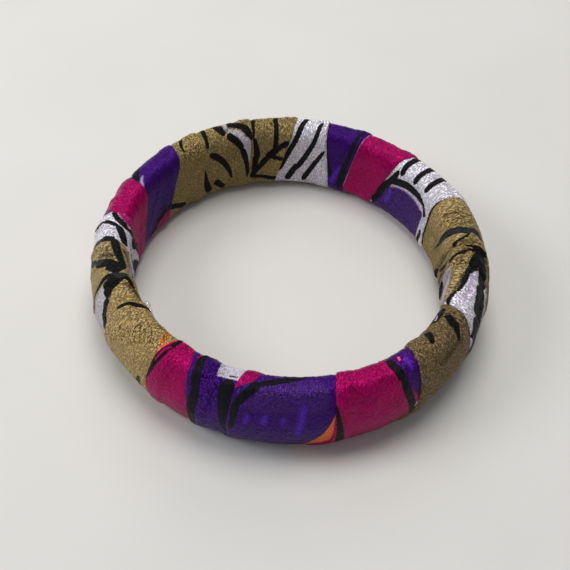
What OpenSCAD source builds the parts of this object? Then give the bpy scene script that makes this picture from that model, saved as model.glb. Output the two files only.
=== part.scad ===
// Bangle bracelet: a stiff D-section ring bound with twenty lapped lengths of folded cloth.
// The ring lies flat. The origin is at the centre of its underside, and +Z is up.

/* [Ring] */
// Clear diameter for the hand, inside the finished bangle
inside_d = 67; // [58:0.5:76]
// Thickness of the finished wall, from the inside face to the outside
wall = 8.8; // [7:0.1:13]
// Height of the finished bangle
height = 18; // [14:0.5:26]
// Fullness of the outer curve: 1 is a straight bevel, 2 an ellipse
outer_fullness = 1.6; // [1.3:0.05:2.4]
// Depth of the rounded inner corners, measured towards the outside
corner_depth = 1.8; // [1:0.1:2.2]
// Height of the rounded inner corners
corner_height = 2.8; // [1.2:0.1:3.2]
// Width of the narrow level band between an inner corner and the outer curve
rim_band = 1.7; // [1:0.1:2]

/* [Cloth] */
// Thickness of one folded length of cloth
cloth_t = 0.34; // [0.2:0.02:0.5]
// Angle by which each length lies over the one before it
lap = 3.6; // [2:0.1:4]
// Angle in which a length comes down from the lap to the glued film
ramp = 1.5; // [1:0.1:2]
// Air between one length and the next where they lap
lap_gap = 0.05; // [0.04:0.01:0.1]
// Height that the cloth gains where it is bunched
bunch_h = 0.9; // [0:0.1:1.5]
// Direction of the bunched stretch, seen from the centre
bunch_at = 18; // [0:1:40]
// Half the width of the bunched stretch
bunch_spread = 22; // [15:1:30]

/* [Adhesive] */
// Thickness of the dried adhesive film on the ring
film_t = 0.1; // [0.05:0.01:0.2]
// Height of the dried beads that squeezed out at the inner edge
bead_h = 0.5; // [0.2:0.05:0.8]

/* [Hidden] */
$fn = 180;

// Where each length's exposed edge lies, in degrees about +Z, as the hand laid it:
// over the top rim, at the middle of the outside, and low on the inside at in_share.
seam_top = [24, 47.5, 65.7, 80.5, 91.7, 108.5, 128.5, 138.5, 159, 175.5,
    201, 213.5, 233.5, 244, 258, 285.5, 311.5, 335, 354, 361.5];
seam_out = [21, 44.5, 62, 77, 88.5, 105, 125.5, 136.5, 158, 175,
    203, 212, 232, 246, 257, 285, 310, 333, 348, 358];
seam_in = [26.5, 57, 70.5, 77.5, 98, 109.5, 130, 147.5, 166.5, 174.5,
    208, 222, 241, 250, 266, 294, 319, 342, 358, 369.5];
turns = len(seam_top);

// Layers, as heights above the bare ring: film, cloth on the film, cloth on a lap
film_seat = 0.02;
film_top = film_seat + film_t;
cloth_gap = 0.08;
low_back = film_top + cloth_gap;
low_face = low_back + cloth_t;
high_back = low_face + lap_gap;
high_face = high_back + cloth_t;

// The bare ring
core_r = inside_d / 2 + high_face;
core_wall = wall - 2 * high_face;
core_h = height - 2 * high_face;
in_share = 0.6;                  // share of the section at which seam_in is given
out_from = -0.1;                 // share from which a seam holds its outside angle
end_gap = 0.1;                   // between the two ends of a length
curve_steps = 8;                 // steps in a quarter of the outer curve
corner_steps = 3;
column_step = 5;                 // widest step round the ring, in degrees
curve_r = core_r + corner_depth + rim_band;
curve_w = core_wall - corner_depth - rim_band;

function curve_point(a) = [
    curve_r + curve_w * pow(cos(a), 2 / outer_fullness),
    core_h / 2 + core_h / 2 * pow(sin(a), 2 / outer_fullness)
];
function corner_point(a) = [
    core_r + corner_depth * (1 - sin(a)),
    core_h - corner_height * (1 - cos(a))
];
function below(p) = [p[0], core_h - p[1]];

// The section, anticlockwise from the middle of the outside: over the top, down the inside, back
upper = concat(
    [for (i = [0 : curve_steps]) curve_point(90 * i / curve_steps)],
    [for (i = [0 : corner_steps]) corner_point(90 * i / corner_steps)]);
top_count = len(upper);
section = concat(
    upper,
    [[core_r, core_h / 2]],
    [for (i = [top_count - 1 : -1 : 1]) below(upper[i])]);
stations = len(section);
joint_at = top_count + corner_steps;   // the two ends meet under the lower inside corner

function unit(v) = v / norm(v);
function outward(v) = [v[1], -v[0]];
function edge_normal(i) =
    outward(unit(section[(i + 1) % stations] - section[i % stations]));
function mitre(i) =
    let (a = edge_normal(i + stations - 1), b = edge_normal(i))
    (a + b) / (1 + a * b);
function raised(i, h) = section[i % stations] + h * mitre(i);
function raised_section(h) = [for (i = [0 : stations - 1]) raised(i, h)];

// Distance along the section, as a share of the whole way round
function way(i) = i == 0 ? 0
    : way(i - 1) + norm(section[i % stations] - section[i - 1]);
whole_way = way(stations);
share = [for (i = [0 : stations]) way(i) / whole_way];
top_share = share[curve_steps];
joint_share = share[joint_at];

// A length of cloth starts at the joint, passes under the ring, up the outside, over the top
// and down the inside to the joint again. Step k of the way is this station and this share.
function station_of(k) = (joint_at + k) % stations;
function share_of(k) = joint_at + k < stations
    ? share[joint_at + k] - 1
    : share[joint_at + k - stations];

// Angle of turn n's exposed edge: it keeps its slope to the joint, and starts where the turn
// before it ended
seam_run_on = 0.2;
function seam_end(n) = seam_in[n] + seam_run_on * (seam_in[n] - seam_top[n]);
function seam_start(n) = n == 0 ? seam_end(turns - 1) - 360 : seam_end(n - 1);
function seam(n, s) = n == turns ? seam(0, s) + 360
    : lookup(s, [
        [joint_share - 1, seam_start(n)],
        [out_from, seam_out[n]],
        [0, seam_out[n]],
        [top_share, seam_top[n]],
        [in_share, seam_in[n]],
        [joint_share, seam_end(n)]]);

// Columns across a length: lap, ramp, even steps to the next seam, then the tucked edge
function step_count(n) = max(1, ceil((seam_top[(n + 1) % turns]
    + (n == turns - 1 ? 360 : 0) - seam_top[n] - lap - ramp) / column_step));
function column_count(n) = 3 + step_count(n) + 1;
function column_angle(n, c, s) =
    let (near = seam(n, s), far = seam(n + 1, s), steps = step_count(n), flat = near + lap + ramp)
    c == 0 ? near
    : c == 1 ? near + lap
    : c <= 2 + steps ? flat + (far - flat) * (c - 2) / steps
    : far + lap - 0.1;

// The bunched cloth stands out most at bunch_at, and not at all on the underside
bunch_fade = 0.15;
function apart(a, b) = abs((a - b + 540) % 360 - 180);
function bunch(a, s) = bunch_h * exp(-pow(apart(a, bunch_at) / bunch_spread, 2))
    * max(0, min(1, 1 + s / bunch_fade, (joint_share - s) / bunch_fade));
function back_height(c, b) = c <= 1 ? high_back + b : low_back;
function face_height(c, b) = (c <= 1 ? high_face : low_face) + b;

function spin(p, a) = [p[0] * cos(a), p[0] * sin(a), p[1]];
// The two ends stop short of each other by end_gap, along the section
joint_run = unit(section[joint_at + 1] - section[joint_at - 1]);
function end_shift(k) = k == 0 ? joint_run * end_gap / 2
    : k == stations ? -joint_run * end_gap / 2 : [0, 0];
function cloth_point(n, c, k, facing) =
    let (s = share_of(k), a = column_angle(n, c, s), b = bunch(a, s),
        h = facing ? face_height(c, b) : back_height(c, b))
    spin(raised(station_of(k), h) + end_shift(k) + [0, high_face], a);

// One length of cloth: a closed sheet of even thickness on the grid of columns and stations
module cloth_length(n) {
    columns = column_count(n) - 1;
    rows = stations + 1;
    layer = columns * rows;
    faces_out = [for (c = [0 : columns - 1]) for (k = [0 : rows - 1])
        cloth_point(n, c, k, true)];
    faces_in = [for (c = [0 : columns - 1]) for (k = [0 : rows - 1])
        cloth_point(n, c, k, false)];
    function at(c, k) = c * rows + k;
    skin = [for (c = [0 : columns - 2]) for (k = [0 : rows - 2]) each [
        [at(c, k), at(c, k + 1), at(c + 1, k)],
        [at(c + 1, k), at(c, k + 1), at(c + 1, k + 1)]]];
    back = [for (f = skin) [f[0] + layer, f[2] + layer, f[1] + layer]];
    // The rim runs once round the grid's border and joins face to back
    border = concat(
        [for (k = [0 : rows - 1]) at(0, k)],
        [for (c = [1 : columns - 1]) at(c, rows - 1)],
        [for (k = [rows - 2 : -1 : 0]) at(columns - 1, k)],
        [for (c = [columns - 2 : -1 : 1]) at(c, 0)]);
    last = len(border);
    rim = [for (i = [0 : last - 1]) let (a = border[i], b = border[(i + 1) % last]) each [
        [b, a, a + layer],
        [b, a + layer, b + layer]]];
    polyhedron(points = concat(faces_out, faces_in), faces = concat(skin, back, rim));
}

// A low round bead of dried adhesive on the cloth, centred at angle a and step k of the way
module bead(a, k, size) {
    sectors = 12;
    rings = 3;
    seat = high_face + 0.03;
    here = raised(station_of(k), seat) + [0, high_face];
    along = raised(station_of(k + 1), seat) - raised(station_of(k), seat);
    up = mitre(station_of(k));
    function bead_point(ring, i, h) =
        let (t = 360 * i / sectors, d = size * ring / rings)
        spin(here + unit(along) * d * sin(t) * 0.7 + up * h, a + d * cos(t) / core_r * 180 / PI);
    dome = [for (ring = [1 : rings]) for (i = [0 : sectors - 1])
        bead_point(ring, i, bead_h * (1 - pow(ring / rings, 2)) * 0.9)];
    seat_ring = (rings - 1) * sectors;
    points = concat(dome, [bead_point(0, 0, bead_h * 0.9), bead_point(0, 0, -0.01)]);
    apex = len(dome);
    fans = [for (i = [0 : sectors - 1]) let (j = (i + 1) % sectors) each [
        [apex, j, i],
        [apex + 1, seat_ring + i, seat_ring + j]]];
    bands = [for (ring = [0 : rings - 2]) for (i = [0 : sectors - 1])
        let (j = (i + 1) % sectors, p = ring * sectors, q = p + sectors) each [
        [p + i, p + j, q + i],
        [p + j, q + j, q + i]]];
    polyhedron(points = points, faces = concat(fans, bands));
}

module core_ring() {
    color("burlywood")
    translate([0, 0, high_face])
    rotate_extrude()
    polygon(section);
}

module adhesive_film() {
    color("ivory")
    translate([0, 0, high_face])
    rotate_extrude()
    difference() {
        polygon(raised_section(film_top));
        polygon(raised_section(film_seat));
    }
}

module glue_bead_large() {
    color("whitesmoke") bead(216.8, stations - joint_at + top_count - 1, 1.1);
}

module glue_bead_small() {
    color("whitesmoke") bead(219.6, stations - joint_at + top_count - 1, 0.6);
}

module fabric_wrap_01() { color("ghostwhite") cloth_length(0); }
module fabric_wrap_02() { color("mediumvioletred") cloth_length(1); }
module fabric_wrap_03() { color("indigo") cloth_length(2); }
module fabric_wrap_04() { color("ghostwhite") cloth_length(3); }
module fabric_wrap_05() { color("darkkhaki") cloth_length(4); }
module fabric_wrap_06() { color("darkkhaki") cloth_length(5); }
module fabric_wrap_07() { color("darkkhaki") cloth_length(6); }
module fabric_wrap_08() { color("indigo") cloth_length(7); }
module fabric_wrap_09() { color("mediumvioletred") cloth_length(8); }
module fabric_wrap_10() { color("ghostwhite") cloth_length(9); }
module fabric_wrap_11() { color("darkkhaki") cloth_length(10); }
module fabric_wrap_12() { color("darkkhaki") cloth_length(11); }
module fabric_wrap_13() { color("mediumvioletred") cloth_length(12); }
module fabric_wrap_14() { color("indigo") cloth_length(13); }
module fabric_wrap_15() { color("indigo") cloth_length(14); }
module fabric_wrap_16() { color("mediumvioletred") cloth_length(15); }
module fabric_wrap_17() { color("darkkhaki") cloth_length(16); }
module fabric_wrap_18() { color("ghostwhite") cloth_length(17); }
module fabric_wrap_19() { color("darkkhaki") cloth_length(18); }
module fabric_wrap_20() { color("darkkhaki") cloth_length(19); }

core_ring();
adhesive_film();
glue_bead_large();
glue_bead_small();
fabric_wrap_01();
fabric_wrap_02();
fabric_wrap_03();
fabric_wrap_04();
fabric_wrap_05();
fabric_wrap_06();
fabric_wrap_07();
fabric_wrap_08();
fabric_wrap_09();
fabric_wrap_10();
fabric_wrap_11();
fabric_wrap_12();
fabric_wrap_13();
fabric_wrap_14();
fabric_wrap_15();
fabric_wrap_16();
fabric_wrap_17();
fabric_wrap_18();
fabric_wrap_19();
fabric_wrap_20();
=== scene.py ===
"""A stiff bangle bound with twenty lapped lengths of printed satin and metallic cloth.

Places on the bangle are given as the cloth sees them: an angle about +Z in degrees, and a
share of the way round the ring's section, which is 0 at the middle of the outside, about a
quarter on the top rim and a half at the middle of the inside.
"""

from math import cos, pi, radians, sin

import bpy
import numpy as np
from bpy.props import FloatProperty, FloatVectorProperty, IntProperty, PointerProperty
from mathutils import Matrix, Vector


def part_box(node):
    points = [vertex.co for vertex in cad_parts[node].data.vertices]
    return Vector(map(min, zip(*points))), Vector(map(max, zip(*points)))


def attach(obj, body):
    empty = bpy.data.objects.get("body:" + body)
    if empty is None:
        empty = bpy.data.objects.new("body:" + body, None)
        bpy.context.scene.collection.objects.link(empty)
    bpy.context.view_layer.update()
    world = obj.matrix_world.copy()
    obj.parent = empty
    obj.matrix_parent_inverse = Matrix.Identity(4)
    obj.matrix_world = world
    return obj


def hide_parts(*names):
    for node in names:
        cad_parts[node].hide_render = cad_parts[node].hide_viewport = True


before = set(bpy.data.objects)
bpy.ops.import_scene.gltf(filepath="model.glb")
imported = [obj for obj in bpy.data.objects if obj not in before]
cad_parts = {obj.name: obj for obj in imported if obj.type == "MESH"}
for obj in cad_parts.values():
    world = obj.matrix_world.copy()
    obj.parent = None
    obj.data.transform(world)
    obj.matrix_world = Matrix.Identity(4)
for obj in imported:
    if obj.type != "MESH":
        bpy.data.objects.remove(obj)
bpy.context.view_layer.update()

bl_info = {
    "name": "Cloth-bound Bangle",
    "version": (1, 0, 0),
    "blender": (4, 5, 0),
    "location": "3D View > Sidebar > Bangle",
    "description": "Binds a rigid bangle with lapped lengths of printed cloth",
    "category": "Object",
}

MM = 0.001
TURNS = 20

# Where each length's exposed edge lies, in degrees, as in the ring's own design:
# over the top rim, at the middle of the outside, and low on the inside.
SEAM_TOP = (24, 47.5, 65.7, 80.5, 91.7, 108.5, 128.5, 138.5, 159, 175.5,
            201, 213.5, 233.5, 244, 258, 285.5, 311.5, 335, 354, 361.5)
SEAM_OUT = (21, 44.5, 62, 77, 88.5, 105, 125.5, 136.5, 158, 175,
            203, 212, 232, 246, 257, 285, 310, 333, 348, 358)
SEAM_IN = (26.5, 57, 70.5, 77.5, 98, 109.5, 130, 147.5, 166.5, 174.5,
           208, 222, 241, 250, 266, 294, 319, 342, 358, 369.5)

# The bare ring's section, in millimetres, as the solid core has it
CORNER_DEPTH = 1.8
CORNER_HEIGHT = 2.8
RIM_BAND = 1.7
OUTER_FULLNESS = 1.6
PRINT_RADIUS = 38.0    # the print is laid out flat as if on a drum of this radius

# The glue beads: where they sit on the inner edge, and how finely they are meshed
BEAD_SHARE = 0.352
BEAD_SHIFT = -1.6      # degrees from the solid's middle
BEAD_SEAT = 0.98       # height of a bead's foot above the bare ring, in mm
BEAD_SINK = 0.03       # how far its closed underside lies below that
BEAD_CROWN = 0.8       # height of the dome as a share of its radius
BEAD_AROUND = 28
BEAD_OUT = 10
INNER_RADIUS = 34.0    # turns a distance along the inner edge into an angle

CAMERA_ABOVE = 49.86   # degrees above level
CAMERA_TURN = -4.90    # degrees about its own line of sight
CAMERA_AWAY = 0.2115   # metres from the middle of the underside
CAMERA_LENS = 60.09    # millimetres
CAMERA_SHIFT = (-0.0041, 0.0132)
FLOOR_HALF = 1.5       # metres


def srgb(code):
    """A colour from its usual six-figure code, as linear red, green and blue."""
    parts = [int(code[i:i + 2], 16) / 255 for i in (0, 2, 4)]
    return tuple(c / 12.92 if c <= 0.04045 else ((c + 0.055) / 1.055) ** 2.4 for c in parts)


# ---------------------------------------------------------------- settings

def length(name, value, words):
    return FloatProperty(name=name, default=value, unit="LENGTH", precision=5, description=words)


def dye(name, code, words):
    return FloatVectorProperty(name=name, subtype="COLOR", default=srgb(code), min=0, max=1,
                               description=words)


class BangleCloth(bpy.types.PropertyGroup):
    """Sizes of the cloth and how it is laid."""

    thickness: length("Thickness", 0.22 * MM, "Thickness of one folded length")
    seat: length("Seat", 0.28 * MM, "Height of the cloth's back above the bare ring")
    lap_gap: length("Lap gap", 0.05 * MM, "Air between two lengths where they lap")
    lap: FloatProperty(name="Lap", default=3.6, description="Lap over the last length, degrees")
    slope: FloatProperty(name="Slope", default=2.6, description="Angle in which a lap comes down")
    hem: length("Hem", 0.30 * MM, "Radius of the fold along an exposed edge")
    bunch: length("Bunching", 0.9 * MM, "Height gained where the cloth is bunched")
    bunch_at: FloatProperty(name="Bunched at", default=18, description="Direction, in degrees")
    bunch_spread: FloatProperty(name="Bunch spread", default=22, description="Half-width, degrees")
    lumps: length("Lumps", 0.12 * MM, "Height of the slow unevenness of the wrapping")
    rows: IntProperty(name="Rows", default=190, min=60, description="Grid steps along a length")
    columns: IntProperty(name="Columns", default=56, min=24, description="Grid steps across it")


class BangleColours(bpy.types.PropertyGroup):
    """The print's colours, and those of the painted shade, sheen and highlight laid in with it."""

    gold: dye("Gold", "88764a", "Olive-gold ground of the tiger print")
    # Pale gold is partly the gold's own paler tone and partly painted highlight, on the twisted
    # gold strip of turns 18 and 19.
    pale_gold: dye("Pale gold", "9c8557", "Paler stretches of the gold ground")
    # Brown is painted shade, laid along the folds, creases and twists of the gold cloth.
    brown: dye("Brown", "4c391e", "Shaded brown of the gold ground")
    magenta: dye("Magenta", "94004f", "Magenta ground")
    purple: dye("Purple", "350c60", "Purple ground")
    # Violet is painted sheen: bright streaks of light on the purple satin.
    violet: dye("Violet", "4c22a0", "Bright stripes in the purple")
    # Dull gold is painted shade, not wear: a darker gold over all of turn 17 and the outside of
    # turns 18 to 20.
    shaded_gold: dye("Dull gold", "69583a", "Gold ground where it is worn")
    white: dye("White", "c4bfc8", "White ground")
    lavender: dye("Lavender", "bfa9c6", "Pale outlines")
    ink: dye("Ink", "0b0b0f", "Black brush strokes")
    slate: dye("Slate", "2a2c30", "Faded brush strokes")
    coral: dye("Coral", "ff4a58", "Coral edge")
    orange: dye("Orange", "d06a1e", "Orange wedge")


def cloth():
    return bpy.context.scene.bangle_cloth


def colour(name):
    return tuple(getattr(bpy.context.scene.bangle_colours, name))


# ---------------------------------------------------------------- the ring's section

def ring_sizes():
    """Inner radius, wall and height of the bare ring, and the height of its underside, in mm."""
    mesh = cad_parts["core_ring"].data
    points = np.zeros(len(mesh.vertices) * 3)
    mesh.vertices.foreach_get("co", points)
    points = points.reshape(-1, 3) / MM
    radius = np.hypot(points[:, 0], points[:, 1])
    low, high = points[:, 2].min(), points[:, 2].max()
    return radius.min(), radius.max() - radius.min(), high - low, low


def section_curve(steps=720):
    """The bare ring's section as even steps round it: points, outward normals and total length.

    The outside is a superellipse, then come a level band, an elliptical corner and the straight
    inside wall; the lower half mirrors the upper. A short running mean rounds its joins.
    """
    inner, wall, height, base = ring_sizes()
    curve = np.linspace(0, pi / 2, 60)
    corner = np.linspace(0, pi / 2, 16)
    start = inner + CORNER_DEPTH + RIM_BAND
    power = 2 / OUTER_FULLNESS
    r = np.r_[start + (wall - CORNER_DEPTH - RIM_BAND) * np.cos(curve).clip(0) ** power,
              inner + CORNER_DEPTH * (1 - np.sin(corner))]
    z = np.r_[height / 2 * (1 + np.sin(curve) ** power),
              height - CORNER_HEIGHT * (1 - np.cos(corner))]
    r, z = np.r_[r, r[::-1]], np.r_[z, height - z[::-1]]
    step = np.hypot(np.diff(r, append=r[0]), np.diff(z, append=z[0]))
    way = np.r_[0, np.cumsum(step)]
    even = np.linspace(0, way[-1], steps, endpoint=False)
    points = np.stack([np.interp(even, way, np.r_[r, r[0]]),
                       np.interp(even, way, np.r_[z, z[0]])], axis=1)
    mean = sum(np.roll(points, k, axis=0) for k in range(-4, 5)) / 9
    mean[:, 1] += base
    along = np.roll(mean, -1, axis=0) - np.roll(mean, 1, axis=0)
    along /= np.linalg.norm(along, axis=1)[:, None]
    return mean, np.stack([along[:, 1], -along[:, 0]], axis=1), way[-1]


SECTION, SECTION_NORMAL, SECTION_LENGTH = section_curve()
TOP_SHARE = 0.231
IN_SHARE = 0.6
OUT_FROM = -0.14      # share from which a seam holds its outside angle
JOINT_SHARE = 0.70    # the two ends of a length meet here, under the lower inside corner
SEAM_RUN_ON = 0.2     # how far a seam keeps its slope from low on the inside to the joint


def on_ring(angle, share, height):
    """Points at an angle in degrees, a share of the section and a height above it, in metres."""
    place = (share % 1) * len(SECTION)
    first = np.floor(place).astype(int)
    part = (place - first)[..., None]
    first = first % len(SECTION)
    after = (first + 1) % len(SECTION)
    point = SECTION[first] * (1 - part) + SECTION[after] * part
    normal = SECTION_NORMAL[first] * (1 - part) + SECTION_NORMAL[after] * part
    point = point + normal * height[..., None]
    turn = np.radians(angle)
    return np.stack([point[..., 0] * np.cos(turn), point[..., 0] * np.sin(turn),
                     point[..., 1]], axis=-1) * MM


def seam_end(n):
    return SEAM_IN[n] + SEAM_RUN_ON * (SEAM_IN[n] - SEAM_TOP[n])


def seam(n, share):
    """Angle of turn n's exposed edge at each share: it starts where the turn before it ended,
    and runs through its three set angles on a curve with its corners eased."""
    if n == TURNS:
        return seam(0, share) + 360
    begin = seam_end(TURNS - 1) - 360 if n == 0 else seam_end(n - 1)
    at = (JOINT_SHARE - 1, OUT_FROM, 0, TOP_SHARE, IN_SHARE, JOINT_SHARE)
    angles = (begin, SEAM_OUT[n], SEAM_OUT[n], SEAM_TOP[n], SEAM_IN[n], seam_end(n))
    ease = np.linspace(-0.04, 0.04, 9)
    return np.mean([np.interp(share + e, at, angles) for e in ease], axis=0)


def smooth(x):
    x = np.clip(x, 0, 1)
    return x * x * (3 - 2 * x)


def grain(x, y, seed):
    """Smooth random heights from 0 to 1 on a unit lattice, the same for the same seed."""
    table = np.random.default_rng(seed).random((97, 89))
    i, j = np.floor(x).astype(int), np.floor(y).astype(int)
    u, v = smooth(x - i), smooth(y - j)

    def at(a, b):
        return table[(i + a) % 97, (j + b) % 89]

    return (at(0, 0) * (1 - u) + at(1, 0) * u) * (1 - v) + (at(0, 1) * (1 - u) + at(1, 1) * u) * v


def bunching(angle, share):
    """Height that the bunched cloth gains, as the solids have it, in mm."""
    c = cloth()
    apart = np.abs((angle - c.bunch_at + 540) % 360 - 180)
    fade = np.clip(np.minimum(1 + share / 0.15, (JOINT_SHARE - share) / 0.15), 0, 1)
    return c.bunch / MM * np.exp(-(apart / c.bunch_spread) ** 2) * fade


def unevenness(angle, share):
    """Slow lumps of the wrapping, always upwards and none at the joint, in mm."""
    x, y = angle * 0.16, share * 9
    lump = 0.65 * grain(x, y, 11) + 0.35 * grain(x * 2.3, y * 2.1, 12)
    fade = smooth((JOINT_SHARE - share) / 0.06) * smooth((share - JOINT_SHARE + 1) / 0.06)
    under = 1 - smooth((0.04 - np.abs(share + 0.25)) / 0.03)
    return cloth().lumps / MM * lump * fade * under


# ---------------------------------------------------------------- pleats and the print

# Pleats that show as real folds: turn, start, end, bow, height and width in mm. A pleat rises
# sharply on the left of its line and falls away on the right. Angles are degrees, and starts
# and ends are (angle, share).
PLEATS = (
    (1, (31, 0.30), (36, 0.60), 0.4, 0.12, 1.6),
    (1, (47, 0.22), (53, 0.50), 0.5, 0.16, 1.4),
    (2, (58, 0.24), (65, 0.60), 0.3, 0.16, 2.0),
    (3, (70.5, 0.30), (76, 0.61), 0.3, 0.20, 1.6),
    (7, (136, 0.28), (141, 0.58), 0.5, 0.12, 2.0),
    (8, (150, 0.25), (164, 0.60), 0.8, 0.14, 2.6),
    (9, (169, 0.10), (170, 0.40), 0.5, 0.24, 2.2),
    (10, (179, 0.05), (183, 0.29), 0.5, 0.28, 1.8),
    (10, (187, 0.02), (192, 0.29), 0.5, 0.38, 2.0),
    (10, (193, 0.00), (199, 0.28), 0.5, 0.30, 1.8),
    (10, (183, 0.30), (177, 0.60), 0.2, 0.30, 1.6),
    (11, (204, -0.05), (206, 0.27), 0.4, 0.24, 2.4),
    (12, (216, 0.00), (228, 0.28), 0.8, 0.22, 2.6),
    (13, (236, -0.15), (241, 0.26), 0.4, 0.16, 1.8),
    (14, (250, -0.15), (253, 0.26), 0.2, 0.18, 1.6),
    (16, (296, 0.00), (299, 0.28), 0.4, 0.12, 2.6),
    (17, (318, 0.02), (324, 0.27), 0.6, 0.24, 3.0),
    (17, (329, 0.00), (334, 0.27), 0.5, 0.34, 2.4),
    (18, (361, 0.245), (333, 0.318), 0.5, 0.75, 1.9),
    (18, (356, 0.295), (340, 0.345), 0.2, 0.60, 1.2),
    (18, (336, 0.060), (360, 0.170), -0.4, 0.60, 2.6),
    (19, (363, 0.250), (352, 0.310), 0.2, 0.60, 1.6),
    (19, (357, 0.300), (359, 0.650), 0.2, 0.45, 1.4),
    (20, (362, 0.150), (358, 0.360), -0.3, 0.50, 2.4),
    (20, (370, 0.200), (360, 0.380), 0.3, 0.60, 1.6),
    (20, (365, 0.350), (373, 0.640), 0.4, 0.35, 2.0),
    (20, (371, 0.240), (377, 0.600), 0.5, 0.35, 2.2),
    (20, (376, 0.180), (379, 0.420), 0.3, 0.30, 1.8),
)
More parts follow.
